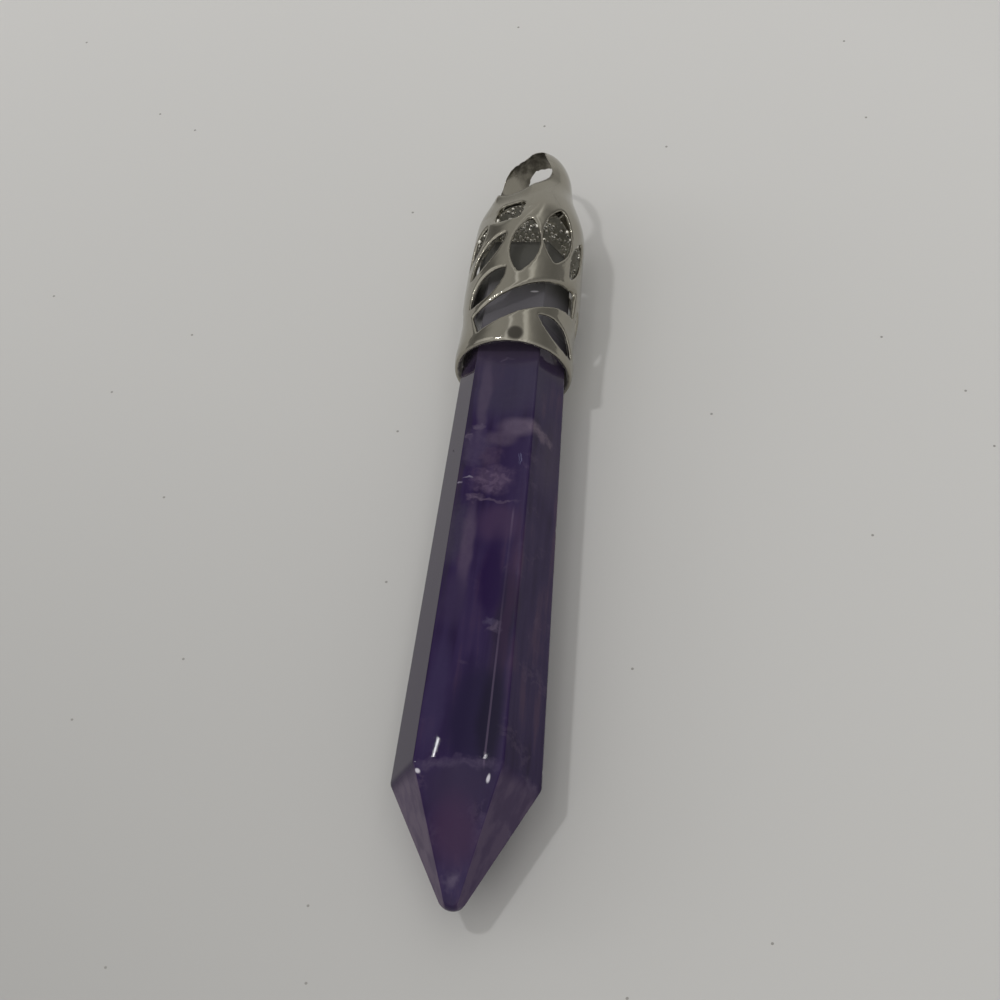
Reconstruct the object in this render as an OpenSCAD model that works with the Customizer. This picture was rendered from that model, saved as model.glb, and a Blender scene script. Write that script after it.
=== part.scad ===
// Crystal point pendant: a six-sided stone point in a pierced cap with an integral bail.
// Each piece is drawn upright, with the cap's rim at z = 0, the tip down and the front
// towards -Y. The whole pendant is then laid on its back as it rests on a table, with the
// front up and the bail towards +Y. Lengths are millimetres.

/* [Stone] */
// Width of the stone across its two side corners at the shoulder
stone_w = 10.2; // [8:0.1:16]
// Thickness of the stone between its front and back facets at the shoulder
stone_t = 7.4; // [6:0.1:13]
// Width of the stone across its side corners where it enters the cap
neck_w = 7.92; // [6:0.02:12]
// Length of the stone from the cap's rim down to the shoulder
stone_body_l = 34.2; // [20:0.2:60]
// Length of the pyramid tip from the shoulder to its sharp apex
stone_tip_l = 9.85; // [5:0.05:20]
// Radius of the rounded end of the tip
tip_round_r = 1.05; // [0.3:0.05:1.8]
// Length of the stem that stands inside the cap
stem_l = 11; // [6:0.2:11.6]
// Angle by which the hand-set stone leans to the right in the cap
stone_lean = 0.8; // [0:0.1:1]

/* [Cap] */
// Space between the stone's corners and the cap's bore
stone_gap = 0.1; // [0.05:0.01:0.3]
// Thickness of the cap's wall at its fullest part
cap_wall = 0.43; // [0.35:0.01:1.2]
// Height of the cap's sleeve, from the rim to the start of the crown
sleeve_h = 13.2; // [12.8:0.1:18]
// Height of the crown, from the sleeve to the top of the bail
crown_h = 9.1; // [8:0.1:12]
// Height of the full lip above the rim
lip_h = 1; // [0.6:0.1:1.6]
// Thickness of the metal between the hollow and the bail's hole
floor_t = 1.4; // [0.8:0.1:2]
// Height of the hollow's tapered top
hollow_taper_h = 2.9; // [2:0.1:4]
// Radius of the hollow at its flat top
hollow_top_r = 3; // [2:0.1:3.2]

/* [Bail] */
// Angle by which the bail's hole is turned to the left of the front
bail_turn = 23; // [0:1:45]
// Thickness of the bail at its very top
bail_top_t = 2.6; // [1:0.1:3]
// Height at which the bail's two slanted flats run out into the sleeve
flats_h = 11; // [10:0.1:14]
// Width of the bail's hole
bail_hole_w = 4.7; // [3:0.1:4.8]
// Height of the bail's hole, from its lowest to its highest point
bail_hole_h = 6; // [5.2:0.1:6.2]
// Radius of the round top of the bail's hole
bail_hole_top_r = 1.5; // [1:0.05:1.5]
// Distance from the cap's axis to the middle of the bail's hole, towards the left
bail_hole_off = 0.15; // [0:0.05:0.2]
// Thickness of the metal over the bail's hole
bail_bar_t = 0.4; // [0.35:0.05:1.2]

/* [Pierced pattern] */
// Length of the longest leaf opening
leaf_l = 5.8; // [3:0.1:6]
// Width of the widest leaf opening
leaf_w = 2.6; // [1:0.1:2.8]
// Width of the square opening under the bail
window_w = 2.2; // [1:0.1:2.4]
// Width of the long curved slot
slot_w = 2.1; // [1:0.05:2.2]
// Tilt of the plane that the slot lies in
slot_tilt = 30; // [15:1:32]
// Height of the middle of that plane on the cap's axis
slot_h = 3.35; // [3.3:0.05:4]
// Angle that the slot spans round the cap
slot_span = 119; // [60:1:120]
// Direction in which the slot's plane is highest, where 90 is the front
slot_turn = 10; // [0:1:20]
// Angle between the slot's right end and that direction
slot_start = 4; // [0:1:12]

/* [Hidden] */
$fn = 96;

// Leaf openings of the front half. The turn is in degrees round the cap, from the right
// side over the front, and the slant is how far the upper end leans to the right. The
// height is a share of the sleeve's height, the length of leaf_l and the width of leaf_w.
col_turn = 0;
col_height = 1;
col_length = 2;
col_width = 3;
col_slant = 4;
LEAVES = [
    [84, 0.708, 0.97, 0.85, 5],
    [49.5, 0.833, 0.98, 1.0, 3.5],
    [19, 0.76, 0.88, 0.54, 18],
    [35, 0.148, 0.75, 0.73, -63],
    [121, 0.424, 0.74, 0.75, 46],
    [126.5, 0.67, 0.83, 0.62, 39],
    [147.5, 0.79, 0.71, 0.6, 36],
    [-7, 0.34, 0.6, 0.46, -35],
];
// The square window: its turn, its height as a share of the sleeve's height, and the
// diameter of the circle that cuts its corners as a share of its width
col_round = 2;
WINDOW = [109, 1, 1.22];
// The cap's outline along the sleeve: height as a share of sleeve_h, and how much of
// cap_wall stands outside the bore there
SLEEVE = [[0, 0.8], [0.035, 0.94], [0.076, 1], [0.255, 0.68], [0.51, 1], [0.76, 0.8], [0.94, 0.58]];
// The cap's outline along the crown: height as a share of crown_h, and radius as a share
// of the cap's largest radius
CROWN = [
    [0, 0.951], [0.088, 0.924], [0.176, 0.873], [0.264, 0.811], [0.363, 0.733],
    [0.462, 0.673], [0.571, 0.637], [0.67, 0.601], [0.769, 0.535], [0.857, 0.437],
    [0.923, 0.316], [0.973, 0.18], [1, 0.06],
];
// Points on the curve between two rows of an outline
outline_steps = 3;

bore_r = neck_w / 2 + stone_gap;
cap_r = bore_r + cap_wall;
cap_l = sleeve_h + crown_h;
hole_top_z = cap_l - bail_bar_t;
hole_low_z = hole_top_z - bail_hole_h;
hollow_h = hole_low_z - floor_t;
hollow_taper_z = hollow_h - hollow_taper_h;
neck_share = neck_w / stone_w;
// Half angle of the tip between its two side corners, and where the ball end meets them
tip_angle = atan(stone_w / 2 / stone_tip_l);
tip_z = -stone_body_l - stone_tip_l;
ball_z = tip_z + tip_round_r / sin(tip_angle);
nose_z = ball_z - tip_round_r * sin(tip_angle);
// A length that clears every piece, and how far a cutter starts outside what it cuts
reach = stone_body_l + stone_tip_l + cap_l;
through = 0.5;

// How the finished pendant lies: on its back shoulder edge and on the cap's lip
rest_tilt = atan((cap_r - stone_t / 2) / (stone_body_l + lip_h));
rest_lift = cap_r * cos(rest_tilt) - lip_h * sin(rest_tilt);
low_end = stone_body_l + stone_tip_l - (tip_round_r / sin(tip_angle) - tip_round_r);
rest_mid = (cap_l - low_end) / 2 * cos(rest_tilt);
lean_shift = stone_body_l * sin(stone_lean);

// A point on the smooth curve through four outline rows, between the middle two
function blend(a, b, c, d, t) =
    0.5 * (2 * b + (c - a) * t + (2 * a - 5 * b + 4 * c - d) * t * t
        + (3 * b - a - 3 * c + d) * t * t * t);
function row(rows, i) = rows[max(0, min(len(rows) - 1, i))];
function smooth(rows, steps) = concat([
    for (i = [0 : len(rows) - 2], s = [0 : steps - 1])
        blend(row(rows, i - 1), rows[i], rows[i + 1], row(rows, i + 2), s / steps)
], [rows[len(rows) - 1]]);
function cap_outline() = concat(
    [for (p = SLEEVE) [bore_r + cap_wall * p[1], sleeve_h * p[0]]],
    [for (p = CROWN) [cap_r * p[1], sleeve_h + crown_h * p[0]]]
);

// Everything beyond one flat facet. The facet crosses height z at the given distance from
// the axis, and leans in above it by lean degrees.
module beyond_facet(turn, distance, z, lean) {
    rotate([0, 0, turn])
        translate([distance, 0, z])
            rotate([0, -lean, 0])
                translate([0, -reach, -reach])
                    cube(2 * reach);
}

// The six facets round the stone: front and back by its thickness, the others by its width
module six_facets(z, rise) {
    for (turn = [-150, -90, -30, 30, 90, 150]) {
        distance = abs(turn) == 90 ? stone_t / 2 : stone_w / 2 * cos(30);
        beyond_facet(turn, distance, z, atan(distance * rise));
    }
}

// The stone: a round blank cut to its facets, with a rounded end
module crystal_point() {
    color("rebeccapurple")
        lay()
            rotate([0, -stone_lean, 0])
                difference() {
                    translate([0, 0, tip_z])
                        cylinder(h = stem_l - tip_z, r = stone_w);
                    six_facets(-stone_body_l, (1 - neck_share) / stone_body_l);
                    six_facets(-stone_body_l, -1 / stone_tip_l);
                    tip_end();
                }
}

// What the ball end takes off the sharp tip
module tip_end() {
    difference() {
        translate([0, 0, tip_z - tip_round_r])
            cylinder(h = nose_z - tip_z + tip_round_r, r = stone_w);
        translate([0, 0, ball_z])
            sphere(r = tip_round_r);
    }
}

// The cast cap: a hollow turned body with two slanted flats, a bail hole and its openings
module cap() {
    color("silver")
        lay()
            difference() {
                intersection() {
                    cap_body();
                    bail_flats();
                }
                hollow();
                bail_hole();
                for (half = [0, 180])
                    rotate([0, 0, half])
                        pierced_half();
            }
}

module cap_body() {
    rows = smooth(cap_outline(), outline_steps);
    rotate_extrude()
        polygon(concat([[0, 0]], rows, [[0, cap_l]]));
}

// The space between the bail's two slanted flats, which run out into the sleeve
module bail_flats() {
    at_turn(90 + bail_turn)
        rotate([90, 0, 0])
            linear_extrude(height = 4 * cap_r, center = true)
                polygon([
                    [-cap_r - through, -through], [cap_r + through, -through],
                    [cap_r + through, flats_h], [cap_r, flats_h],
                    [bail_top_t / 2, cap_l], [bail_top_t / 2, cap_l + through],
                    [-bail_top_t / 2, cap_l + through], [-bail_top_t / 2, cap_l],
                    [-cap_r, flats_h], [-cap_r - through, flats_h],
                ]);
}

module hollow() {
    translate([0, 0, -through])
        cylinder(h = hollow_taper_z + through, r = bore_r);
    translate([0, 0, hollow_taper_z])
        cylinder(h = hollow_taper_h, r1 = bore_r, r2 = hollow_top_r);
}

// The bail's hole: a wide round bottom and a narrower round top, joined by tangents
module bail_hole() {
    low_r = bail_hole_w / 2;
    low_z = hole_low_z + low_r;
    top_z = hole_top_z - bail_hole_top_r;
    tangent = asin((low_r - bail_hole_top_r) / (top_z - low_z));
    at_turn(90 + bail_turn)
        translate([0, -bail_hole_off, 0])
            rotate([90, 0, 90])
                linear_extrude(height = 4 * cap_r, center = true) {
                    translate([0, low_z])
                        circle(r = low_r);
                    translate([0, top_z])
                        circle(r = bail_hole_top_r);
                    polygon([
                        for (side = [1, -1], end = side > 0 ? [0, 1] : [1, 0])
                            let (r = end == 0 ? low_r : bail_hole_top_r, z = end == 0 ? low_z : top_z)
                                [side * r * cos(tangent), z + r * sin(tangent)]
                    ]);
                }
}

// Turns a cutter that points along +X to a direction round the cap, where 90 is the front
module at_turn(turn) {
    rotate([0, 0, -turn])
        children();
}

// Cuts a flat outline straight out through the wall at a turn and height
module cut_out(turn, height) {
    at_turn(turn)
        translate([hollow_top_r - through, 0, height])
            rotate([90, 0, 90])
                linear_extrude(height = cap_r)
                    children();
}

// A pointed leaf between two arcs, with its upper end leaning to the right
module leaf(length, width, slant) {
    arc_r = (length * length + width * width) / (4 * width);
    rotate(-slant)
        intersection() {
            translate([arc_r - width / 2, 0])
                circle(r = arc_r);
            translate([width / 2 - arc_r, 0])
                circle(r = arc_r);
        }
}

module pierced_half() {
    for (p = LEAVES)
        cut_out(p[col_turn], p[col_height] * sleeve_h)
            leaf(p[col_length] * leaf_l, p[col_width] * leaf_w, p[col_slant]);
    cut_out(WINDOW[col_turn], WINDOW[col_height] * sleeve_h)
        intersection() {
            square(window_w, center = true);
            circle(d = window_w * WINDOW[col_round]);
        }
    slot();
}

// The long slot lies in a tilted plane, so that it winds up round the sleeve
module slot() {
    at_turn(slot_turn)
        translate([0, 0, slot_h])
            rotate([0, -slot_tilt, 0])
                rotate([0, 0, -slot_start - slot_span])
                    rotate_extrude(angle = slot_span)
                        translate([hollow_top_r, -slot_w / 2])
                            square([2 * cap_r, slot_w]);
}

// Lays an upright piece on the table as the pendant rests
module lay() {
    translate([-lean_shift, -rest_mid, rest_lift])
        rotate([rest_tilt - 90, 0, 0])
            children();
}

crystal_point();
cap();
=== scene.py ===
# Crystal point pendant: the looks of the amethyst and its pierced cast cap, lying on pale card.
import math
from functools import partial

import bmesh
import bpy
import numpy as np
from mathutils import Matrix, Vector, noise


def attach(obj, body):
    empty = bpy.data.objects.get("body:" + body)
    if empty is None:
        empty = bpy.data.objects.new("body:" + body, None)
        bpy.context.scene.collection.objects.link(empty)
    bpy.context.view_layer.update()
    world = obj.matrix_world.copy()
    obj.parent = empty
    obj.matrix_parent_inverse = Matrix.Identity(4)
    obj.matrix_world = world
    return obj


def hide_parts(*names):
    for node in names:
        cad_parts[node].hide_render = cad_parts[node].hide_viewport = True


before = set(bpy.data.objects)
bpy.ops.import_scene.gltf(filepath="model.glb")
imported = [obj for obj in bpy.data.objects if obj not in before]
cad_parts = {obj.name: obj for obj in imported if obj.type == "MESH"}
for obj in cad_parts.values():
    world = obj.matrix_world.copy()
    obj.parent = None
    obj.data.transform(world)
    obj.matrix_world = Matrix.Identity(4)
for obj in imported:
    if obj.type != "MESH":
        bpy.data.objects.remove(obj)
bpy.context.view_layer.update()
mm = 0.001  # every size below is in millimetres, the scene is in metres


def linearColour(hexColour):
    # sRGB hex to the linear values that the sockets take
    shares = [int(hexColour[i:i + 2], 16) / 255 for i in (1, 3, 5)]
    return [s / 12.92 if s <= 0.04045 else ((s + 0.055) / 1.055) ** 2.4 for s in shares] + [1]


def addNode(tree, kind, *inputs, stops=(), **settings):
    # One node with its settings. Its inputs are values, sockets or nodes, in order and then by name.
    # A kind in capitals is a Math node's operation, and a colour ramp has (place, hex colour) stops.
    if kind.isupper():
        kind, settings = "ShaderNodeMath", {"operation": kind}
    node = tree.nodes.new(kind)
    for name, value in settings.items():
        setattr(node, name, value)
    named = inputs[-1] if inputs and isinstance(inputs[-1], dict) else {}
    inOrder = inputs[:-1] if named else inputs
    for key, value in [*enumerate(inOrder), *named.items()]:
        if isinstance(value, bpy.types.Node):
            value = next(output for output in value.outputs if output.enabled)
        if isinstance(value, bpy.types.NodeSocket):
            tree.links.new(value, node.inputs[key])
        else:
            node.inputs[key].default_value = value
    if stops:
        elements = node.color_ramp.elements
        while len(elements) < len(stops):
            elements.new(0.5)
        for element, (place, hexColour) in zip(elements, stops):
            element.position = place
            element.color = linearColour(hexColour)
    return node


def newLook(name):
    # an empty material, and what adds nodes to it
    look = bpy.data.materials.new(name)
    look.use_nodes = True
    look.node_tree.nodes.clear()
    return look, partial(addNode, look.node_tree)


def runModifierTree(source, tree, values):
    # gives a piece's mesh from a node tree, with its named inputs set before the first evaluation
    modifier = source.modifiers.new(tree.name, "NODES")
    modifier.node_group = tree
    for item in tree.interface.items_tree:
        if item.in_out == "INPUT" and item.name in values:
            modifier[item.identifier] = values[item.name]
    depsgraph = bpy.context.evaluated_depsgraph_get()
    mesh = bpy.data.meshes.new_from_object(source.evaluated_get(depsgraph), depsgraph=depsgraph)
    source.modifiers.remove(modifier)
    return mesh


def addPiece(name, mesh, nodes=()):
    piece = bpy.data.objects.new(name, mesh)
    bpy.context.scene.collection.objects.link(piece)
    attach(piece, "root")
    if nodes:
        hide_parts(*nodes)
    print("made", name, len(mesh.polygons), "faces")


# The stone

stone = {
    "shoulderWidth": 10.2,
    "shoulderThickness": 7.4,
    "neckWidth": 7.92,
    "bodyLength": 34.2,
    "tipLength": 9.85,
    "stemLength": 11.0,
    "endRadius": 1.05,
    "lean": 0.8,  # degrees to the right, as it was set by hand
    "edgeRounding": 0.09,
    "shoulderRounding": 0.07,
    "chipDepth": 0.1,
    "chipSpread": 5.0,  # how fast the chips change round the stone, against along it
    "chipScale": 1.1,
    "chipStart": 0.6,  # the noise's value where a chip starts
    "chipSteepness": 8.0,
    "crowding": 1.6,  # how strongly the rings crowd towards the tip
    "paleSpot": (0.86, 16.16, 7.4),  # a small pale spot on the stem's front, on the table
    "paleSpotSize": (0.3, 0.08, 3.8),
    "around": 315,
    "rings": 190,
    "seed": 4,
}


def stoneTree():
    # A cylinder's points are moved out to the nearest of six facets. The rings follow the body's
    # taper, the tip's taper and the rounded end, and crowd towards the tip.
    tree = bpy.data.node_groups.new("facetedStone", "GeometryNodeTree")
    for name in ("Shoulder Width", "Shoulder Thickness", "Neck Share", "Body Length", "Tip Length",
                 "Stem Length", "End Radius", "Edge Rounding", "Shoulder Rounding", "Chip Depth"):
        tree.interface.new_socket(name, in_out="INPUT", socket_type="NodeSocketFloat")
    for name in ("Around", "Rings", "Seed"):
        tree.interface.new_socket(name, in_out="INPUT", socket_type="NodeSocketInt")
    tree.interface.new_socket("Material", in_out="INPUT", socket_type="NodeSocketMaterial")
    tree.interface.new_socket("Geometry", in_out="OUTPUT", socket_type="NodeSocketGeometry")
    add = partial(addNode, tree)
    given = add("NodeGroupInput").outputs
    rod = add("GeometryNodeMeshCylinder", {
        "Vertices": given["Around"], "Side Segments": given["Rings"], "Radius": 1.0, "Depth": 1.0})
    along = add("ShaderNodeSeparateXYZ", add("GeometryNodeInputPosition")).outputs

    halfWidth = add("MULTIPLY", given["Shoulder Width"], 0.5)
    halfAngle = add("ARCTANGENT", add("DIVIDE", halfWidth, given["Tip Length"]))
    apex = add("MULTIPLY", add("ADD", given["Body Length"], given["Tip Length"]), -1.0)
    ballHeight = add("ADD", apex, add("DIVIDE", given["End Radius"], add("SINE", halfAngle)))
    low = add("SUBTRACT", ballHeight, given["End Radius"])
    share = add("POWER", add("ADD", along["Z"], 0.5), stone["crowding"])
    height = add("ADD", low, add("MULTIPLY", add("SUBTRACT", given["Stem Length"], low), share))

    # the two tapers, as shares of the shoulder
    aboveShoulder = add("ADD", height, given["Body Length"])
    narrowing = add("DIVIDE", add("SUBTRACT", 1.0, given["Neck Share"]), given["Body Length"])
    bodyShare = add("SUBTRACT", 1.0, add("MULTIPLY", narrowing, aboveShoulder))
    tipShare = add("DIVIDE", add("ADD", aboveShoulder, given["Tip Length"]), given["Tip Length"])
    softness = add("DIVIDE", given["Shoulder Rounding"], halfWidth)
    taper = add("SMOOTH_MIN", bodyShare, tipShare, softness)

    # distance to each facet along the point's own direction, facets more than square to it left out
    flat = add("MULTIPLY", halfWidth, math.cos(math.radians(30)))
    thick = add("MULTIPLY", given["Shoulder Thickness"], 0.5)
    sharp = rounded = None
    for turn in range(-150, 180, 60):
        aside = add("MULTIPLY", along["X"], math.cos(math.radians(turn)))
        upward = add("MULTIPLY", along["Y"], math.sin(math.radians(turn)))
        facing = add("MAXIMUM", add("ADD", aside, upward), 0.05)
        reach = add("DIVIDE", thick if abs(turn) == 90 else flat, facing)
        sharp = add("MINIMUM", sharp, reach) if sharp else reach
        rounded = add("SMOOTH_MIN", rounded, reach, given["Edge Rounding"]) if rounded else reach

    # small chips along the edges
    edgeWidth = add("MULTIPLY", given["Edge Rounding"], 0.12)
    nearEdge = add("MINIMUM", add("DIVIDE", add("SUBTRACT", sharp, rounded), edgeWidth), 1.0)
    spot = add("ShaderNodeCombineXYZ", add("MULTIPLY", along["X"], stone["chipSpread"]),
               add("MULTIPLY", along["Y"], stone["chipSpread"]), height)
    nicks = add("ShaderNodeTexNoise", {
        "Vector": spot, "W": given["Seed"], "Scale": stone["chipScale"], "Detail": 2.0,
    }, noise_dimensions="4D")
    chip = add("MAXIMUM", add("SUBTRACT", nicks, stone["chipStart"]), 0.0)
    chip = add("MULTIPLY", chip, stone["chipSteepness"])
    depth = add("MULTIPLY", add("MULTIPLY", add("MINIMUM", chip, 1.0), nearEdge), given["Chip Depth"])
    out = add("MULTIPLY", add("SUBTRACT", rounded, depth), taper)

    # the ball that rounds the very end, kept clear of the rest above its nose
    offBall = add("SUBTRACT", height, ballHeight)
    ballSquare = add("MULTIPLY", given["End Radius"], given["End Radius"])
    inBall = add("SUBTRACT", ballSquare, add("MULTIPLY", offBall, offBall))
    ball = add("SQRT", add("MAXIMUM", inBall, 0.0))
    nose = add("SUBTRACT", ballHeight, add("MULTIPLY", given["End Radius"], add("SINE", halfAngle)))
    clear = add("MULTIPLY", add("GREATER_THAN", height, nose), given["Shoulder Width"])
    out = add("MINIMUM", out, add("ADD", ball, clear))

    moved = add("ShaderNodeCombineXYZ",
                add("MULTIPLY", along["X"], out), add("MULTIPLY", along["Y"], out), height)
    shaped = add("GeometryNodeSetPosition", {"Geometry": rod, "Position": moved})
    closed = add("GeometryNodeMergeByDistance", {"Geometry": shaped, "Distance": 0.0005})  # at the nose
    soft = add("GeometryNodeSetShadeSmooth", {"Geometry": closed})
    real = add("GeometryNodeRealizeInstances", {"Geometry": soft})
    dressed = add("GeometryNodeSetMaterial", {"Geometry": real, "Material": given["Material"]})
    add("NodeGroupOutput", {"Geometry": dressed})
    return tree


# Colour zones, veils and specks that show through the polish, and two painted glints at the shoulder's
# ends:
# the middle on the front (across, along), how far each reaches both ways, its colour, its strength and how
# torn it is
zoneDepth = 3.8  # how far each reaches into the stone
leastTear = 0.15  # above it, a zone's outline is torn too
zones = [
    ((-0.4, 7.4), (3.0, 3.6), "#3d374d", 0.8, 0.1),
    ((-2.7, -1.0), (0.28, 12.0), "#2b2338", 0.7, 0.1),
    ((-0.4, 9.45), (0.5, 0.12), "#6a6076", 0.7, 0.5),
    ((-1.75, 6.2), (0.45, 4.2), "#51465c", 0.7, 0.1),
    ((-2.4, -6.0), (0.9, 2.6), "#40394e", 0.7, 0.2),
    ((0.9, -0.8), (0.8, 2.6), "#2a1a44", 0.8, 0.0),
    ((1.2, 1.0), (0.8, 1.5), "#2c1d46", 0.8, 0.0),
    ((-1.9, 1.4), (1.1, 1.8), "#493e5a", 0.75, 0.2),
    ((3.5, 2.0), (1.0, 4.2), "#463b52", 0.65, 0.1),
    ((1.0, 3.3), (1.5, 0.9), "#62556a", 0.75, 0.1),
    ((-0.1, 2.2), (1.1, 0.8), "#54475d", 0.7, 0.15),
    ((2.5, 3.3), (0.9, 0.6), "#6a5b6e", 0.8, 0.5),
    ((-1.8, 3.2), (0.45, 0.3), "#62576c", 0.7, 0.5),
    ((-2.6, 2.2), (0.4, 0.35), "#62576c", 0.7, 0.6),
    ((-0.7, 0.7), (0.8, 0.9), "#4a3a54", 0.7, 0.3),
    ((-0.4, -1.4), (1.5, 1.2), "#61506a", 0.8, 0.45),
    ((-0.1, -3.3), (1.7, 0.14), "#67586d", 0.6, 0.3),
    ((-1.5, -3.1), (0.5, 0.4), "#67586e", 0.7, 0.6),
    ((-2.1, -1.3), (0.3, 0.1), "#8d8598", 0.7, 0.6),
    ((-2.5, -1.95), (0.2, 0.16), "#8d8598", 0.8, 0.6),
    ((1.45, 0.2), (0.08, 0.6), "#6a6a8c", 0.7, 0.2),
    ((1.2, 0.3), (0.06, 0.5), "#5c5a7c", 0.6, 0.2),
    ((0.5, -5.2), (1.7, 1.7), "#412e4e", 0.85, 0.0),
    ((-1.55, -7.4), (0.5, 4.0), "#564860", 0.7, 0.1),
    ((-1.9, -11.6), (0.9, 2.4), "#372b4b", 0.8, 0.1),
    ((1.75, -12.8), (0.9, 4.0), "#1e142e", 0.8, 0.0),
    ((0.55, -9.8), (0.95, 3.8), "#200a3c", 1.0, 0.0),
    ((1.95, -13.0), (0.35, 10.0), "#36203f", 0.5, 0.0),
    ((-0.6, -13.6), (0.9, 2.2), "#35284c", 0.5, 0.1),
    ((1.3, -13.7), (0.5, 0.5), "#5b4f66", 0.7, 0.5),
    ((0.7, -13.2), (0.6, 0.3), "#4d4460", 0.7, 0.4),
    ((-0.6, -16.4), (0.5, 0.2), "#4a3c58", 0.6, 0.5),
    ((0.5, -20.4), (1.9, 4.4), "#22193a", 0.95, 0.0),
    ((1.7, -20.6), (0.95, 4.6), "#150d2a", 0.9, 0.0),
    ((-2.1, -19.0), (0.8, 5.0), "#372d50", 0.7, 0.1),
    ((0.0, -24.05), (2.7, 0.45), "#4b3f5b", 0.75, 0.4),
    ((0.0, -25.6), (2.4, 1.6), "#2c1e40", 0.9, 0.0),
    ((0.0, -28.4), (1.8, 2.6), "#382043", 0.95, 0.0),
    # painted highlights: these two pale specks at the ends of the shoulder are painted glints
    ((-2.5, -24.5), (0.16, 0.16), "#d8d4de", 0.9, 0.0),
    ((2.05, -24.9), (0.12, 0.3), "#d8d4de", 0.9, 0.0),
    ((3.3, -27.3), (0.25, 0.35), "#9a8ea2", 0.9, 0.4),
    ((4.5, -24.2), (0.5, 0.9), "#5c5168", 0.7, 0.2),
    ((0.05, -31.0), (0.6, 0.8), "#685c72", 0.7, 0.25),
    ((-0.3, -32.5), (1.6, 0.9), "#1f142b", 0.9, 0.0),
]


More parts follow.
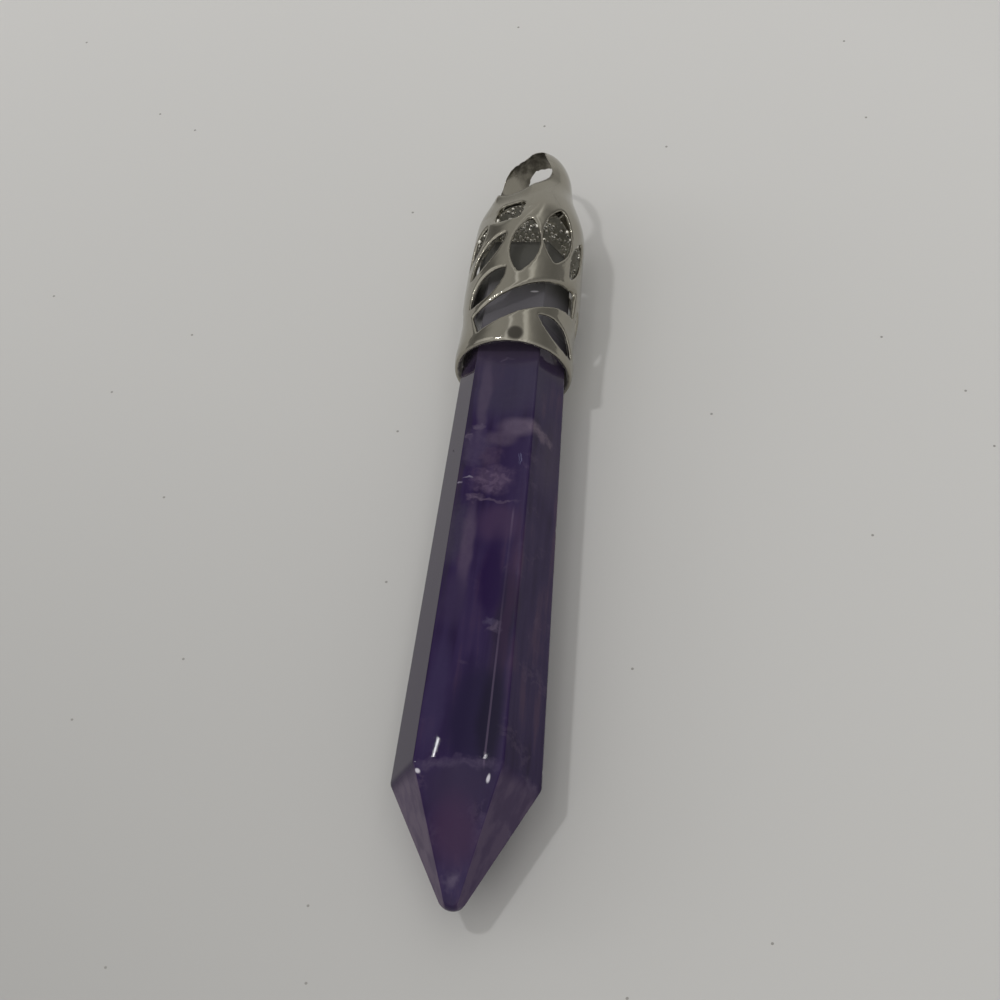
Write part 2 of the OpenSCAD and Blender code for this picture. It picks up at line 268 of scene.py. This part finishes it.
def amethyst():
    # Amethyst, ground flat and polished: a dark violet body with colour zones, streaks along its
    # length and torn pale veils, under a glassy surface worn by handling. Its glued stem is dull grey.
    look, add = newLook("amethystPolished")
    places = add("ShaderNodeTexCoord").outputs
    inMm = add("ShaderNodeVectorMath", places["Object"], (1 / mm,) * 3, operation="MULTIPLY")

    # the place wandering a little, for calm zones, and more, for torn ones
    wandered = [inMm]
    for size, amount in ((2.8, 0.8), (0.8, 1.3)):
        wander = add("ShaderNodeTexNoise", {"Vector": inMm, "Scale": 1 / size, "Detail": 2.0})
        aside = add("ShaderNodeVectorMath", wander.outputs["Color"], (0.5, 0.5, 0.5), operation="SUBTRACT")
        aside = add("ShaderNodeVectorMath", aside, (amount,) * 3, operation="MULTIPLY")
        wandered.append(add("ShaderNodeVectorMath", wandered[-1], aside, operation="ADD"))
    calm, torn = wandered[1:]
    stretched = add("ShaderNodeVectorMath", inMm, (1.0, 0.07, 1.0), operation="MULTIPLY")
    cracks, body, streaks, drifts = (
        add("ShaderNodeTexNoise", {"Vector": where, "Scale": scale, "Detail": detail, "Distortion": twist})
        for where, scale, detail, twist in (
            (torn, 2.0, 5.0, 0.5), (inMm, 0.2, 2.0, 0.0),
            (stretched, 1.4, 3.0, 0.0), (torn, 0.34, 3.0, 0.0)))
    violet = add("ADD", add("MULTIPLY", body, 0.5), add("MULTIPLY", streaks, 0.5))
    colour = add("ShaderNodeValToRGB", violet, stops=[
        (0.36, "#211038"), (0.46, "#2b1c44"), (0.54, "#31234a"), (0.64, "#43304e")])

    split = add("ShaderNodeSeparateXYZ", inMm).outputs
    along = split["Y"]
    facing = add("ShaderNodeSeparateXYZ", places["Normal"]).outputs["X"]
    offLine = add("ABSOLUTE", add("SUBTRACT", add("MULTIPLY_ADD", along, 0.012, split["X"]), 1.4))
    offPaleSpot = add("ShaderNodeVectorMath", inMm, stone["paleSpot"], operation="SUBTRACT")
    offPaleSpot = add("ShaderNodeVectorMath", offPaleSpot, stone["paleSpotSize"], operation="DIVIDE")
    offPaleSpot = add("ShaderNodeVectorMath", offPaleSpot, operation="LENGTH")
    rim = cap["rimPlace"]

    # soft masks: what each follows, where it starts and is whole, and the shares it gives there
    mask = {}
    for name, follows, start, whole, *shares in (
        ("cracked", cracks, 0.4, 0.6),
        ("drifting", drifts, 0.56, 0.66),
        ("cloudy", streaks, 0.35, 0.6, 0.6, 1.0),
        ("faint", streaks, 0.35, 0.6, 0.1, 0.5),
        ("toLeft", facing, -0.3, -0.5),
        ("toRight", facing, 0.3, 0.5),
        ("leftSide", facing, -0.5, -0.7),
        ("onTip", along, -23.6, -24.8),
        ("onBody", along, -25.0, -23.8),
        ("onLine", offLine, 0.1, 0.03),
        ("belowLineTop", along, -3.6, -4.6),
        ("aboveLineEnd", along, -24.6, -23.6),
        ("nearRim", along, rim - 2.0, rim, 0.0, 0.8),
        ("onStem", along, rim + 0.4, rim + 3.5),
        ("stemEnd", along, rim + 5.0, rim + 8.0),
        ("onGlue", offPaleSpot, 1.3, 0.7),
        ("roughness", along, rim + 0.5, rim + 4.5, 0.015, 0.4),
    ):
        mask[name] = add(
            "ShaderNodeMapRange", follows, start, whole, *shares, interpolation_type="SMOOTHSTEP")

    # layers of colour, each with the shares that its strength is the product of
    layers = [((mask["drifting"], mask["cracked"], 0.25), "#5f5068")]
    for middle, size, zoneColour, strength, tear in zones:
        spot = torn if tear > leastTear else calm
        centre = (*middle, stone["shoulderThickness"])
        off = add("ShaderNodeVectorMath", spot, centre, operation="SUBTRACT")
        off = add("ShaderNodeVectorMath", off, (*size, zoneDepth), operation="DIVIDE")
        off = add("ShaderNodeVectorMath", off, operation="LENGTH")
        near = add("ShaderNodeMapRange", off, 1.3, 0.5, interpolation_type="SMOOTHSTEP")
        broken = add("MULTIPLY_ADD", mask["cracked"], tear * strength, (1 - tear) * strength)
        layers.append(((near, broken), zoneColour))
    layers += [
        # the tip's side facets, paler in patches
        ((mask["toLeft"], mask["onTip"], mask["cloudy"]), "#5a4e60"),
        ((mask["toRight"], mask["onTip"], mask["cloudy"]), "#54475e"),
        # painted shade: the body's left side facet is made darker, to dim how brightly it reflects the
        # room
        ((mask["leftSide"], mask["onBody"]), "#1c0830"),
        # a thin reflection inside, along the right edge of the front
        ((mask["onLine"], mask["belowLineTop"], mask["aboveLineEnd"], mask["faint"]), "#6a5b74"),
        # the stone under the cap, its dull stem and a small pale spot on it
        # painted light: the stone just below the rim is made lighter and greyer, to offset the cap's shade
        ((mask["nearRim"],), "#423a4a"),
        ((mask["onStem"],), "#67656a"),
        ((mask["stemEnd"],), "#565551"),
        ((mask["onGlue"],), "#c4c1c6"),
    ]
    for (amount, *others), over in layers:
        for share in others:
            amount = add("MULTIPLY", amount, share)
        colour = add("ShaderNodeMix", {
            "Factor": amount, "A": colour, "B": linearColour(over)}, data_type="RGBA")
    shader = add("ShaderNodeBsdfPrincipled", {
        "Base Color": colour, "Roughness": mask["roughness"], "IOR": 1.544, "Specular IOR Level": 0.16})
    add("ShaderNodeOutputMaterial", {"Surface": shader})
    return look


def makeStone():
    host = bpy.data.objects.new("stoneHost", bpy.data.meshes.new("stoneHost"))
    bpy.context.scene.collection.objects.link(host)
    mesh = runModifierTree(host, stoneTree(), {
        "Shoulder Width": stone["shoulderWidth"],
        "Shoulder Thickness": stone["shoulderThickness"],
        "Neck Share": stone["neckWidth"] / stone["shoulderWidth"],
        "Body Length": stone["bodyLength"],
        "Tip Length": stone["tipLength"],
        "Stem Length": stone["stemLength"],
        "End Radius": stone["endRadius"],
        "Edge Rounding": stone["edgeRounding"],
        "Shoulder Rounding": stone["shoulderRounding"],
        "Chip Depth": stone["chipDepth"],
        "Around": stone["around"],
        "Rings": stone["rings"],
        "Seed": stone["seed"],
        "Material": amethyst(),
    })
    bpy.data.objects.remove(host)
    mesh.transform(toTable @ Matrix.Rotation(math.radians(-stone["lean"]), 4, "Y"))
    addPiece("amethystPoint", mesh, ["crystal_point"])


# The cap

cap = {
    "radius": 4.49,
    "length": 22.3,
    "lipHeight": 1.0,
    "hollow": ((11.6, 4.06), (14.5, 3.0)),  # height and radius where its top tapers
    "voxel": 0.088,
    "smoothRounds": 120,
    "crownRounds": 12,  # fewer there, as the bail's thin edges would wander
    "rimRounds": 4,  # these round the rims of the openings
    "filedRounds": 6,  # after the bail's hole is filed out
    "weldShare": 0.4,  # of a voxel: closer points are joined after the filing
    "triangles": 180000,
    "bailTurn": 23,  # degrees to the left of the front
    "flatsHeight": 11.0,  # where the two flats run out
    "bailTop": 1.3,  # half the bail's thickness at its top
    "crownRounding": 0.9,  # how softly the flats run into the turned crown
    "bailHole": ((18.25, 2.45), (20.35, 1.52)),  # height and radius of its two round ends, as filed out
    "bailHoleShift": 0.15,  # to the side of the cap's middle
    "plugReach": 6,  # the plug that files the hole reaches so far both ways
    "plugAround": 140,  # faces round it
    "plugRings": 111,
    "handWave": 0.035,  # how far the polished skin wanders
    "wavesPerMm": 0.45,
    "grainDepth": 0.05,  # the rough skin left by the mould inside
    "grainSize": 0.22,
    "rimPlace": 10.25,  # the rim's place along the table
    "darkReflectionSpot": (0.12, 10.83, 8.92),  # a dark reflection painted as a round spot on the lip, on the table
}


def castMetal():
    # Brass, cast, tumbled and plated a warm silver: a bright, slightly wavy skin with one dark reflection
    # painted as a round spot on its lip, the bail's hole stained and darkened by painted shade, and the
    # mould's dull, glinting grain inside.
    look, add = newLook("platedCasting")
    place = add("ShaderNodeTexCoord").outputs["Object"]
    inMm = add("ShaderNodeVectorMath", place, (1 / mm,) * 3, operation="MULTIPLY")
    inside, stainsAndShade = (
        add("ShaderNodeAttribute", attribute_name=name).outputs["Fac"] for name in ("inside", "stainsAndShade"))
    worn, grain = (
        add("ShaderNodeTexNoise", {"Vector": inMm, "Scale": scale, "Detail": detail})
        for scale, detail in ((1.5, 4.0), (5.0, 3.0)))
    # painted shade in part: the bail's hole is darkened here, as well as mottled with stains
    stainedShade = add("ShaderNodeValToRGB", worn, stops=[
        (0.38, "#656258"), (0.5, "#77736a"), (0.62, "#8a867b")])
    # painted reflection: a dark round spot on the lip
    offDarkReflection = add("ShaderNodeVectorMath", inMm, cap["darkReflectionSpot"], operation="DISTANCE")
    onDarkReflection = add("ShaderNodeMapRange", offDarkReflection, 0.75, 0.45, interpolation_type="SMOOTHSTEP")

    colour = linearColour("#9e9a8f")
    # painted light in part: the hollow's wall gets a paler base colour to brighten it, as well as its
    # rough cast finish
    for amount, over in (
        (inside, linearColour("#c6c3b9")), (stainsAndShade, stainedShade), (onDarkReflection, linearColour("#5a5751")),
    ):
        colour = add("ShaderNodeMix", {"Factor": amount, "A": colour, "B": over}, data_type="RGBA")
    polished = add("ShaderNodeMapRange", {"Value": worn, "To Min": 0.08, "To Max": 0.18})
    recessed = add("MAXIMUM", inside, stainsAndShade)
    roughness = add("ShaderNodeMapRange", {"Value": recessed, "To Min": polished, "To Max": 0.4})
    metallic = add("ShaderNodeMapRange", {"Value": inside, "To Min": 1.0, "To Max": 0.65})
    uneven = add("MULTIPLY_ADD", stainsAndShade, 0.35, inside)
    bump = add("ShaderNodeBump", {"Height": grain, "Distance": 0.1 * mm, "Strength": uneven})
    shader = add("ShaderNodeBsdfPrincipled", {
        "Base Color": colour, "Metallic": metallic, "Roughness": roughness, "Normal": bump})
    add("ShaderNodeOutputMaterial", {"Surface": shader})
    return look


def brightMetal():
    # Beads and crumbs of cast metal: brighter and smoother than the wall they sit on.
    look, add = newLook("castBeads")
    shader = add("ShaderNodeBsdfPrincipled", {
        "Base Color": linearColour("#e6e3da"), "Metallic": 1.0, "Roughness": 0.26})
    add("ShaderNodeOutputMaterial", {"Surface": shader})
    return look


def neighbourMean(points, edges):
    # each point's mean neighbour
    total = np.zeros_like(points)
    count = np.bincount(edges.ravel(), minlength=len(points))
    for axis in range(3):
        total[:, axis] = (
            np.bincount(edges[:, 0], points[edges[:, 1], axis], len(points))
            + np.bincount(edges[:, 1], points[edges[:, 0], axis], len(points)))
    return total / np.maximum(count, 1)[:, None]


def modified(mesh, kind, **settings):
    # a mesh as one modifier leaves it
    host = bpy.data.objects.new("host", mesh)
    bpy.context.scene.collection.objects.link(host)
    modifier = host.modifiers.new(kind.lower(), kind)
    for name, value in settings.items():
        setattr(modifier, name, value)
    depsgraph = bpy.context.evaluated_depsgraph_get()
    result = bpy.data.meshes.new_from_object(host.evaluated_get(depsgraph), depsgraph=depsgraph)
    bpy.data.objects.remove(host)
    return result


def readVectors(items, name):
    values = np.empty(len(items) * 3)
    items.foreach_get(name, values)
    return values.reshape(-1, 3)


def smoothed(mesh, rounds, crownRounds, pullBack=-0.51):
    # softens the voxel steps and rounds the edges. Pulled back after each push, the walls don't shrink.
    edges = np.empty(len(mesh.edges) * 2, int)
    mesh.edges.foreach_get("vertices", edges)
    edges = edges.reshape(-1, 2)
    points = readVectors(mesh.vertices, "co")
    hollowTop = cap["hollow"][1][0]
    wanted = np.interp(points[:, 2], (hollowTop - 0.5, hollowTop + 0.5), (rounds, crownRounds))
    for done in range(rounds):
        for push in (0.5, pullBack):
            share = (push * (done < wanted))[:, None]
            points = points + share * (neighbourMean(points, edges) - points)
    mesh.vertices.foreach_set("co", points.ravel())
    mesh.update()
    return mesh


def recessShares(points):
    # how far each point belongs to the hollow's wall, and to the wall of the bail's hole
    radius = np.hypot(points[:, 0], points[:, 1])
    height = points[:, 2]
    hollowTop = cap["hollow"][1][0]
    wall = np.interp(height, *zip(*cap["hollow"]))
    nearWall = np.clip((wall + 0.16 - radius) / 0.1, 0, 1)
    belowTop = np.clip((hollowTop + 0.2 - height) / 0.15, 0, 1)
    inHole = np.clip((0.14 - offBailHole(points)) / 0.08, 0, 1)
    return nearWall * belowTop, inHole * (height > hollowTop + 0.5)


def offBailHole(points):
    # distance outside the bail's hole, which tapers from a wide round bottom to its round top
    turn = math.radians(90 + cap["bailTurn"])
    across = points[:, 0] * math.sin(turn) + points[:, 1] * math.cos(turn) + cap["bailHoleShift"]
    (lowHeight, lowRadius), (topHeight, topRadius) = cap["bailHole"]
    share = np.clip((points[:, 2] - lowHeight) / (topHeight - lowHeight), 0, 1)
    return np.hypot(across, points[:, 2] - lowHeight - share * (topHeight - lowHeight)) - (
        lowRadius + share * (topRadius - lowRadius))


def bailPlug():
    # a closed plug that files the bail's hole clean, divided as finely as the cast skin
    (lowHeight, lowRadius), (topHeight, topRadius) = cap["bailHole"]
    lean = math.asin((lowRadius - topRadius) / (topHeight - lowHeight))
    arcPoints = 60
    outline = []
    for height, radius, first, last in (
        (topHeight, topRadius, lean, math.pi - lean),
        (lowHeight, lowRadius, math.pi - lean, 2 * math.pi + lean),
    ):
        for angle in np.linspace(first, last, arcPoints):
            outline.append((radius * math.cos(angle), height + radius * math.sin(angle)))
    outline = np.array(outline + outline[:1])

    # even steps round the outline, repeated along the hole
    passed = np.concatenate([[0], np.cumsum(np.hypot(*np.diff(outline, axis=0).T))])
    even = np.linspace(0, passed[-1], cap["plugAround"] + 1)[:-1]
    across, up = (np.interp(even, passed, outline[:, i]) for i in (0, 1))
    turn = math.radians(90 + cap["bailTurn"])
    sine, cosine = math.sin(turn), math.cos(turn)
    shift = cap["bailHoleShift"]
    rings = np.linspace(-cap["plugReach"], cap["plugReach"], cap["plugRings"])
    points = [((a - shift) * sine + w * cosine, (a - shift) * cosine - w * sine, h)
              for w in rings for a, h in zip(across, up)]
    count = len(even)
    faces = []
    for ring in range(len(rings) - 1):
        low, high = ring * count, (ring + 1) * count
        for i in range(count):
            after = (i + 1) % count
            faces.append((low + i, low + after, high + after, high + i))
    faces += [tuple(range(count))[::-1], tuple(range(high, high + count))]
    mesh = bpy.data.meshes.new("bailPlug")
    mesh.from_pydata(points, [], faces)
    work = bmesh.new()
    work.from_mesh(mesh)
    bmesh.ops.recalc_face_normals(work, faces=work.faces)
    work.to_mesh(mesh)
    work.free()
    plug = bpy.data.objects.new("bailPlug", mesh)
    bpy.context.scene.collection.objects.link(plug)
    return plug


def crownDip(points):
    # how far the ridge between the turned crown and the bail's flats is worn down at each point
    radius = np.hypot(points[:, 0], points[:, 1])
    step = 0.15  # of height, to find how wide the crown is at each
    bins = (points[:, 2] / step).astype(int).clip(0)
    turned = np.zeros(bins.max() + 1)
    np.maximum.at(turned, bins, radius)
    turned = np.interp(points[:, 2], (np.arange(len(turned)) + 0.5) * step, turned)
    turn = math.radians(90 + cap["bailTurn"])
    facing = np.abs(points[:, 0] * math.cos(turn) - points[:, 1] * math.sin(turn))
    flats = np.interp(points[:, 2], (cap["flatsHeight"], cap["length"]), (cap["radius"], cap["bailTop"]))
    apart = np.abs((turned - radius) - (flats - facing))
    dip = cap["crownRounding"] / 4 * np.clip(1 - apart / cap["crownRounding"], 0, 1) ** 2

    # only on the outer skin, away from the bail's hole and above where the flats run out
    skin = np.clip(0.35 - np.minimum(turned - radius, flats - facing), 0, 0.2) / 0.2
    offHole = np.clip((offBailHole(points) - 0.25) / 0.8, 0, 1)
    aboveFlats = np.clip((points[:, 2] - cap["flatsHeight"] - 1) / 1.5, 0, 1)
    return dip * skin * offHole * aboveFlats


def makeCap():
    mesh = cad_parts["cap"].data.copy()
    mesh.materials.clear()
    work = bmesh.new()
    work.from_mesh(mesh)
    bmesh.ops.remove_doubles(work, verts=work.verts, dist=0.5e-6)  # metres, joins the faces' corners
    work.to_mesh(mesh)
    work.free()
    mesh.transform(toTable.inverted())  # upright, in millimetres

    # an even skin, softened as a casting is, with the bail's hole filed out
    cast = modified(mesh, "REMESH", mode="VOXEL", voxel_size=cap["voxel"])
    cast = smoothed(cast, cap["smoothRounds"], cap["crownRounds"])
    cast = smoothed(cast, cap["rimRounds"], 0, pullBack=0)
    plug = bailPlug()
    cast = modified(cast, "BOOLEAN", object=plug, operation="DIFFERENCE", solver="MANIFOLD")
    bpy.data.objects.remove(plug)
    cast = modified(cast, "WELD", merge_threshold=cap["voxel"] * cap["weldShare"])
    cast = smoothed(cast, cap["filedRounds"], cap["filedRounds"])
    cast.calc_loop_triangles()
    cast = modified(cast, "DECIMATE", ratio=min(1, cap["triangles"] / len(cast.loop_triangles)))

    # the polished skin waves a little, and the hollow's wall is grainy
    points = readVectors(cast.vertices, "co")
    inside, stainsAndShade = recessShares(points)
    wave = np.array([noise.noise(Vector(p) * cap["wavesPerMm"]) for p in points])
    grain = np.array([noise.noise(Vector(p) / cap["grainSize"]) for p in points])
    outside = (1 - inside) * (1 - stainsAndShade)
    shift = outside * (wave * cap["handWave"] - crownDip(points)) + inside * grain * cap["grainDepth"]
    points = points + readVectors(cast.vertex_normals, "vector") * shift[:, None]
    cast.vertices.foreach_set("co", points.ravel())
    for name, values in (("inside", inside), ("stainsAndShade", stainsAndShade)):
        cast.attributes.new(name, "FLOAT", "POINT").data.foreach_set("value", values.astype(np.float32))
    cast.shade_smooth()
    cast.materials.clear()
    cast.materials.append(castMetal())

    beads = beadMesh(cast)
    for made, name in ((cast, "castCap"), (beads, "castBeads")):
        made.name = name
        made.transform(toTable)
    addPiece("castBeads", beads)
    addPiece("castCap", cast, ["cap"])


beadSizes = {
    "density": 9.0,  # per square millimetre
    "radius": 0.16,
    "least": 0.4,  # times the radius
    "most": 1.5,
    "from": 11.3,  # height in the cap
    "patchScale": 0.5,
    "patchStart": 0.45,  # the noise's value where a patch starts
    "seed": 11,
}


def beadTree():
    # Scatters small beads in patches over the hollow's rough wall above a height.
    tree = bpy.data.node_groups.new("castBeads", "GeometryNodeTree")
    tree.interface.new_socket("Geometry", in_out="INPUT", socket_type="NodeSocketGeometry")
    for name in ("Density", "Bead Radius", "Least Size", "Most Size", "From Height"):
        tree.interface.new_socket(name, in_out="INPUT", socket_type="NodeSocketFloat")
    tree.interface.new_socket("Seed", in_out="INPUT", socket_type="NodeSocketInt")
    tree.interface.new_socket("Material", in_out="INPUT", socket_type="NodeSocketMaterial")
    tree.interface.new_socket("Geometry", in_out="OUTPUT", socket_type="NodeSocketGeometry")
    add = partial(addNode, tree)
    given = add("NodeGroupInput").outputs
    place = add("GeometryNodeInputPosition")
    high = add("GREATER_THAN", add("ShaderNodeSeparateXYZ", place).outputs["Z"], given["From Height"])
    rough = add("GREATER_THAN", add("GeometryNodeInputNamedAttribute", {"Name": "inside"}), 0.7)
    patches = add("ShaderNodeTexNoise", {"Vector": place, "Scale": beadSizes["patchScale"]})
    patchy = add("GREATER_THAN", patches, beadSizes["patchStart"])
    here = add("MULTIPLY", add("MULTIPLY", high, rough), patchy)
    scattered = add("GeometryNodeDistributePointsOnFaces", {
        "Mesh": given["Geometry"], "Selection": here, "Density": given["Density"], "Seed": given["Seed"]})
    bead = add("GeometryNodeMeshIcoSphere", {"Radius": given["Bead Radius"], "Subdivisions": 2})
    size = add("FunctionNodeRandomValue", {
        "Min": given["Least Size"], "Max": given["Most Size"], "Seed": given["Seed"]})
    placed = add("GeometryNodeInstanceOnPoints", {
        "Points": scattered, "Instance": bead, "Rotation": scattered.outputs["Rotation"], "Scale": size})
    real = add("GeometryNodeRealizeInstances", {"Geometry": placed})
    soft = add("GeometryNodeSetShadeSmooth", {"Geometry": real})
    dressed = add("GeometryNodeSetMaterial", {"Geometry": soft, "Material": given["Material"]})
    add("NodeGroupOutput", {"Geometry": dressed})
    return tree


def beadMesh(cast):
    # the beads, scattered over a copy of the cast
    host = bpy.data.objects.new("beadHost", cast.copy())
    bpy.context.scene.collection.objects.link(host)
    mesh = runModifierTree(host, beadTree(), {
        "Density": beadSizes["density"],
        "Bead Radius": beadSizes["radius"],
        "Least Size": beadSizes["least"],
        "Most Size": beadSizes["most"],
        "From Height": beadSizes["from"],
        "Seed": beadSizes["seed"],
        "Material": brightMetal(),
    })
    bpy.data.objects.remove(host)
    return mesh


# How the pendant lies

def layOnTable():
    # from upright millimetres, with the rim at 0 and the tip down, to the lying pendant in metres
    halfThickness = stone["shoulderThickness"] / 2
    tilt = math.atan((cap["radius"] - halfThickness) / (stone["bodyLength"] + cap["lipHeight"]))
    tipAngle = math.atan(stone["shoulderWidth"] / 2 / stone["tipLength"])
    cutOff = stone["endRadius"] / math.sin(tipAngle) - stone["endRadius"]
    lowEnd = stone["bodyLength"] + stone["tipLength"] - cutOff
    place = Vector((
        -stone["bodyLength"] * math.sin(math.radians(stone["lean"])),
        -(cap["length"] - lowEnd) / 2 * math.cos(tilt),
        cap["radius"] * math.cos(tilt) - cap["lipHeight"] * math.sin(tilt),
    ))
    turn = Matrix.Rotation(tilt - math.pi / 2, 4, "X")
    return Matrix.Scale(mm, 4) @ Matrix.Translation(place) @ turn


toTable = layOnTable()


# The tabletop, the light and the camera

stage = {
    "floorSize": 700,
    "shadedCorner": (-0.06, -0.07, 0),  # metres, painted shade darkens the card towards it
    "dustScale": 0.06,
    "dustSize": 0.006,
}
room = {
    # the walls' and ceiling's tones by the angle round the pendant, from the left to the right
    "walls": [
        (-90, "#8d8c8a"), (-72, "#737270"), (-60, "#838280"), (-48, "#aeadaa"), (-38, "#bcbbb8"),
        (-20, "#bcbbb8"), (-11, "#b0afac"), (-10, "#ffffff"), (-6, "#ffffff"), (-4.5, "#bebdba"),
        (15, "#b2b1ae"), (19, "#fafaf8"), (23, "#fafaf8"), (27, "#c2c1be"), (34, "#a3a2a0"),
        (45, "#908f8d"), (65, "#838280"), (90, "#8d8c8a"),
    ],
    "back": "#c4c3c0",
    "front": 0.3,  # how much brighter the room is behind the viewer
}


def tableTop():
    # Coated card: matt, pale grey, with painted shade making it a little darker to one corner, and a few
    # grey specks of dust.
    look, add = newLook("coatedCard")
    place = add("ShaderNodeTexCoord").outputs["Object"]
    offCorner = add("ShaderNodeVectorMath", place, stage["shadedCorner"], operation="DISTANCE")
    colour = add("ShaderNodeValToRGB", add("ShaderNodeMapRange", offCorner, 0.0, 0.15), stops=[
        (0.0, "#a3a2a0"), (0.6, "#d0cfcd"), (1.0, "#e1e0de")])
    inMm = add("ShaderNodeVectorMath", place, (1 / mm,) * 3, operation="MULTIPLY")
    dust = add("ShaderNodeTexVoronoi", {
        "Vector": inMm, "Scale": stage["dustScale"]}, voronoi_dimensions="2D")
    speck = add("LESS_THAN", dust, stage["dustSize"])
    dusty = add("ShaderNodeMix", {
        "Factor": speck, "A": colour, "B": linearColour("#9c9a96")}, data_type="RGBA")
    shader = add("ShaderNodeBsdfPrincipled", {"Base Color": dusty, "Roughness": 0.6})
    add("ShaderNodeOutputMaterial", {"Surface": shader})
    return look


def makeStage():
    half = stage["floorSize"] / 2 * mm
    mesh = bpy.data.meshes.new("tableTop")
    corners = [(-half, -half, 0), (half, -half, 0), (half, half, 0), (-half, half, 0)]
    mesh.from_pydata(corners, [], [(0, 1, 2, 3)])
    mesh.materials.append(tableTop())
    floor = bpy.data.objects.new("tableTop", mesh)
    bpy.context.scene.collection.objects.link(floor)

    world = bpy.data.worlds.new("paleRoom")
    bpy.context.scene.world = world
    world.use_nodes = True
    world.node_tree.nodes.clear()
    add = partial(addNode, world.node_tree)
    parts = add("ShaderNodeSeparateXYZ", add("ShaderNodeTexCoord").outputs["Generated"]).outputs
    angle = add("ShaderNodeMapRange", add("ARCTAN2", parts["X"], parts["Z"]), -math.pi / 2, math.pi / 2)
    walls = add("ShaderNodeValToRGB", angle, stops=[
        ((degrees + 90) / 180, colour) for degrees, colour in room["walls"]])
    atBack = add("ShaderNodeMapRange", parts["Y"], 0.74, 0.92)
    sides = add("ShaderNodeMix", {
        "Factor": atBack, "A": walls, "B": linearColour(room["back"])}, data_type="RGBA")
    atFront = add("ShaderNodeMapRange", parts["Y"], 0.2, -0.8, 0.0, room["front"])
    near = add("ShaderNodeBackground", {"Color": sides, "Strength": 1.0})
    bright = add("ShaderNodeBackground", {"Color": linearColour("#ffffff"), "Strength": atFront})
    add("ShaderNodeOutputWorld", {"Surface": add("ShaderNodeAddShader", near, bright)})


# The lamp and the two windows: place, size and power, and whether reflections show them
lamps = [
    ("ceilingLamp", (-166, -30, 470), (26, 26), 0.315, True),
    ("leftWindow", (-420, 60, 330), (340, 340), 0.17, True),
    ("lowWindow", (-450, 20, 190), (200, 200), 0.19, False),
]
# Two far tubes, seen only as upright glints at the end of the front facet: where the glint is, the
# direction that the tube lies in from there, its size and power
tubes = [
    ("leftTube", (-1.7, -23.5, 7.36), (-0.1845, 0.4575, 0.8698), (0.3, 10.5), 0.0012),
    ("rightTube", (1.73, -23.5, 7.36), (-0.16, 0.4573, 0.8748), (0.8, 2.6), 0.0002),
]
tubeDistance = 600  # from the glint
tubeTurn = (0.232, 0.887, -0.418)  # the way that both tubes run


def addLamp(name, place, target, size, power, along=None):
    data = bpy.data.lights.new(name, "AREA")
    data.shape = "RECTANGLE"
    data.size, data.size_y = (s * mm for s in size)
    data.energy = power
    lamp = bpy.data.objects.new(name, data)
    bpy.context.scene.collection.objects.link(lamp)
    aim = (Vector(target) - Vector(place)).normalized()
    turned = aim.to_track_quat("-Z", "Y").to_matrix()
    if along:
        side = Vector(along).cross(-aim).normalized()
        turned = Matrix([side, (-aim).cross(side), -aim]).transposed()
    lamp.matrix_world = Matrix.Translation(Vector(place) * mm) @ turned.to_4x4()
    return lamp


def makeLight():
    for name, place, size, power, shown in lamps:
        addLamp(name, place, (0, 0, 0), size, power).visible_glossy = shown
    for name, glint, direction, size, power in tubes:
        place = Vector(glint) + tubeDistance * Vector(direction)
        addLamp(name, place, glint, size, power, along=tubeTurn)


camera = {
    "place": (22.47, -82.77, 121.56),
    "azimuth": -15.51,
    "elevation": 54.14,
    "roll": -11.15,
    "lens": 72,
    "sensor": 36,
    "nearest": 0.005,  # metres
}


def makeCamera():
    azimuth, elevation, roll = (math.radians(camera[k]) for k in ("azimuth", "elevation", "roll"))
    forward = Vector((math.sin(azimuth) * math.cos(elevation), math.cos(azimuth) * math.cos(elevation),
                      -math.sin(elevation)))
    level = Vector((math.cos(azimuth), -math.sin(azimuth), 0))
    right = Matrix.Rotation(-roll, 3, forward) @ level
    upward = right.cross(forward)
    data = bpy.data.cameras.new("camera")
    data.lens = camera["lens"]
    data.sensor_width = camera["sensor"]
    data.clip_start = camera["nearest"]
    seat = bpy.data.objects.new("camera", data)
    bpy.context.scene.collection.objects.link(seat)
    seat.matrix_world = Matrix.Translation(Vector(camera["place"]) * mm) @ Matrix(
        [right, upward, -forward]).transposed().to_4x4()
    bpy.context.scene.camera = seat


makeCamera()
makeStone()
makeCap()
makeStage()
makeLight()
bpy.context.scene.view_settings.view_transform = "Standard"
bpy.context.view_layer.update()
print("made the stage, the light and the camera")
